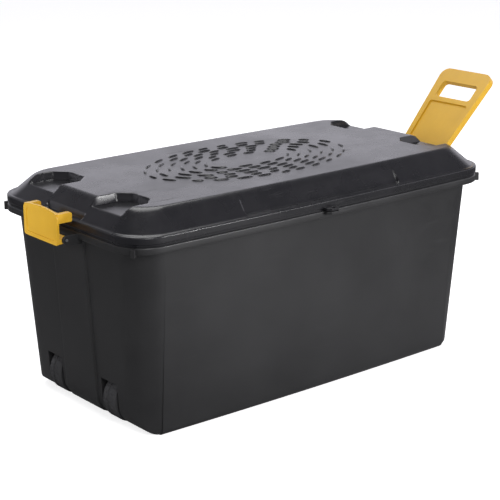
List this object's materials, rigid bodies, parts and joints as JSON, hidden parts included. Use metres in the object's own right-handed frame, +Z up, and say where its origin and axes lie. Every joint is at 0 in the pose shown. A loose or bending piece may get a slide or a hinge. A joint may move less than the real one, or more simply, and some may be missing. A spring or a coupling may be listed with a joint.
{
  "type": "deck storage box",
  "caption": "Lidded plastic storage trunk for outdoors, with a hinged flat-topped lid, an end latch, a fold-out tow handle and wheels at the other end.",
  "frame": {"origin": "centre of the tub's underside, on the surface that the box stands on", "axes": "+X along the length towards the tow handle, +Y across the width towards the lid hinges, +Z up"},
  "size_m": [1.2309, 0.5535, 0.5851],
  "materials": {
    "black_plastic": "satin moulded polypropylene",
    "lid_plastic": "satin moulded polypropylene with a moulded tread",
    "yellow_plastic": "semi-gloss moulded plastic",
    "wheel_plastic": "matt moulded plastic",
    "steel": "zinc plated"
  },
  "bodies": {
    "tub": {"tub": "black_plastic", "latch_pin": "steel", "tow_handle_pin": "steel", "axle_front": "steel", "axle_back": "steel", "axle_push_nuts": "steel", "hinge_pin_left": "steel", "hinge_pin_right": "steel"},
    "lid": {"lid": "lid_plastic"},
    "latch": {"latch": "yellow_plastic"},
    "tow_handle": {"tow_handle": "yellow_plastic"},
    "wheel_front": {"wheel_front": "wheel_plastic"},
    "wheel_back": {"wheel_back": "wheel_plastic"}
  },
  "joints": [
    {"name": "lid_hinge", "type": "hinge", "parent": "tub", "child": "lid", "pos_m": [0, 0.27, 0.418], "axis": [-1, 0, 0], "range_deg": [0, 105]},
    {"name": "latch_pivot", "type": "hinge", "parent": "tub", "child": "latch", "pos_m": [-0.514, 0, 0.397], "axis": [0, -1, 0], "range_deg": [0, 110]},
    {"name": "tow_handle_pivot", "type": "hinge", "parent": "tub", "child": "tow_handle", "pos_m": [0.515, 0, 0.395], "axis": [0, 1, 0], "range_deg": [-44, 136]},
    {"name": "wheel_front_spin", "type": "hinge", "parent": "tub", "child": "wheel_front", "pos_m": [-0.404, -0.101, 0.056], "axis": [0, 1, 0], "continuous": true},
    {"name": "wheel_back_spin", "type": "hinge", "parent": "tub", "child": "wheel_back", "pos_m": [-0.404, 0.101, 0.056], "axis": [0, 1, 0], "continuous": true}
  ]
}
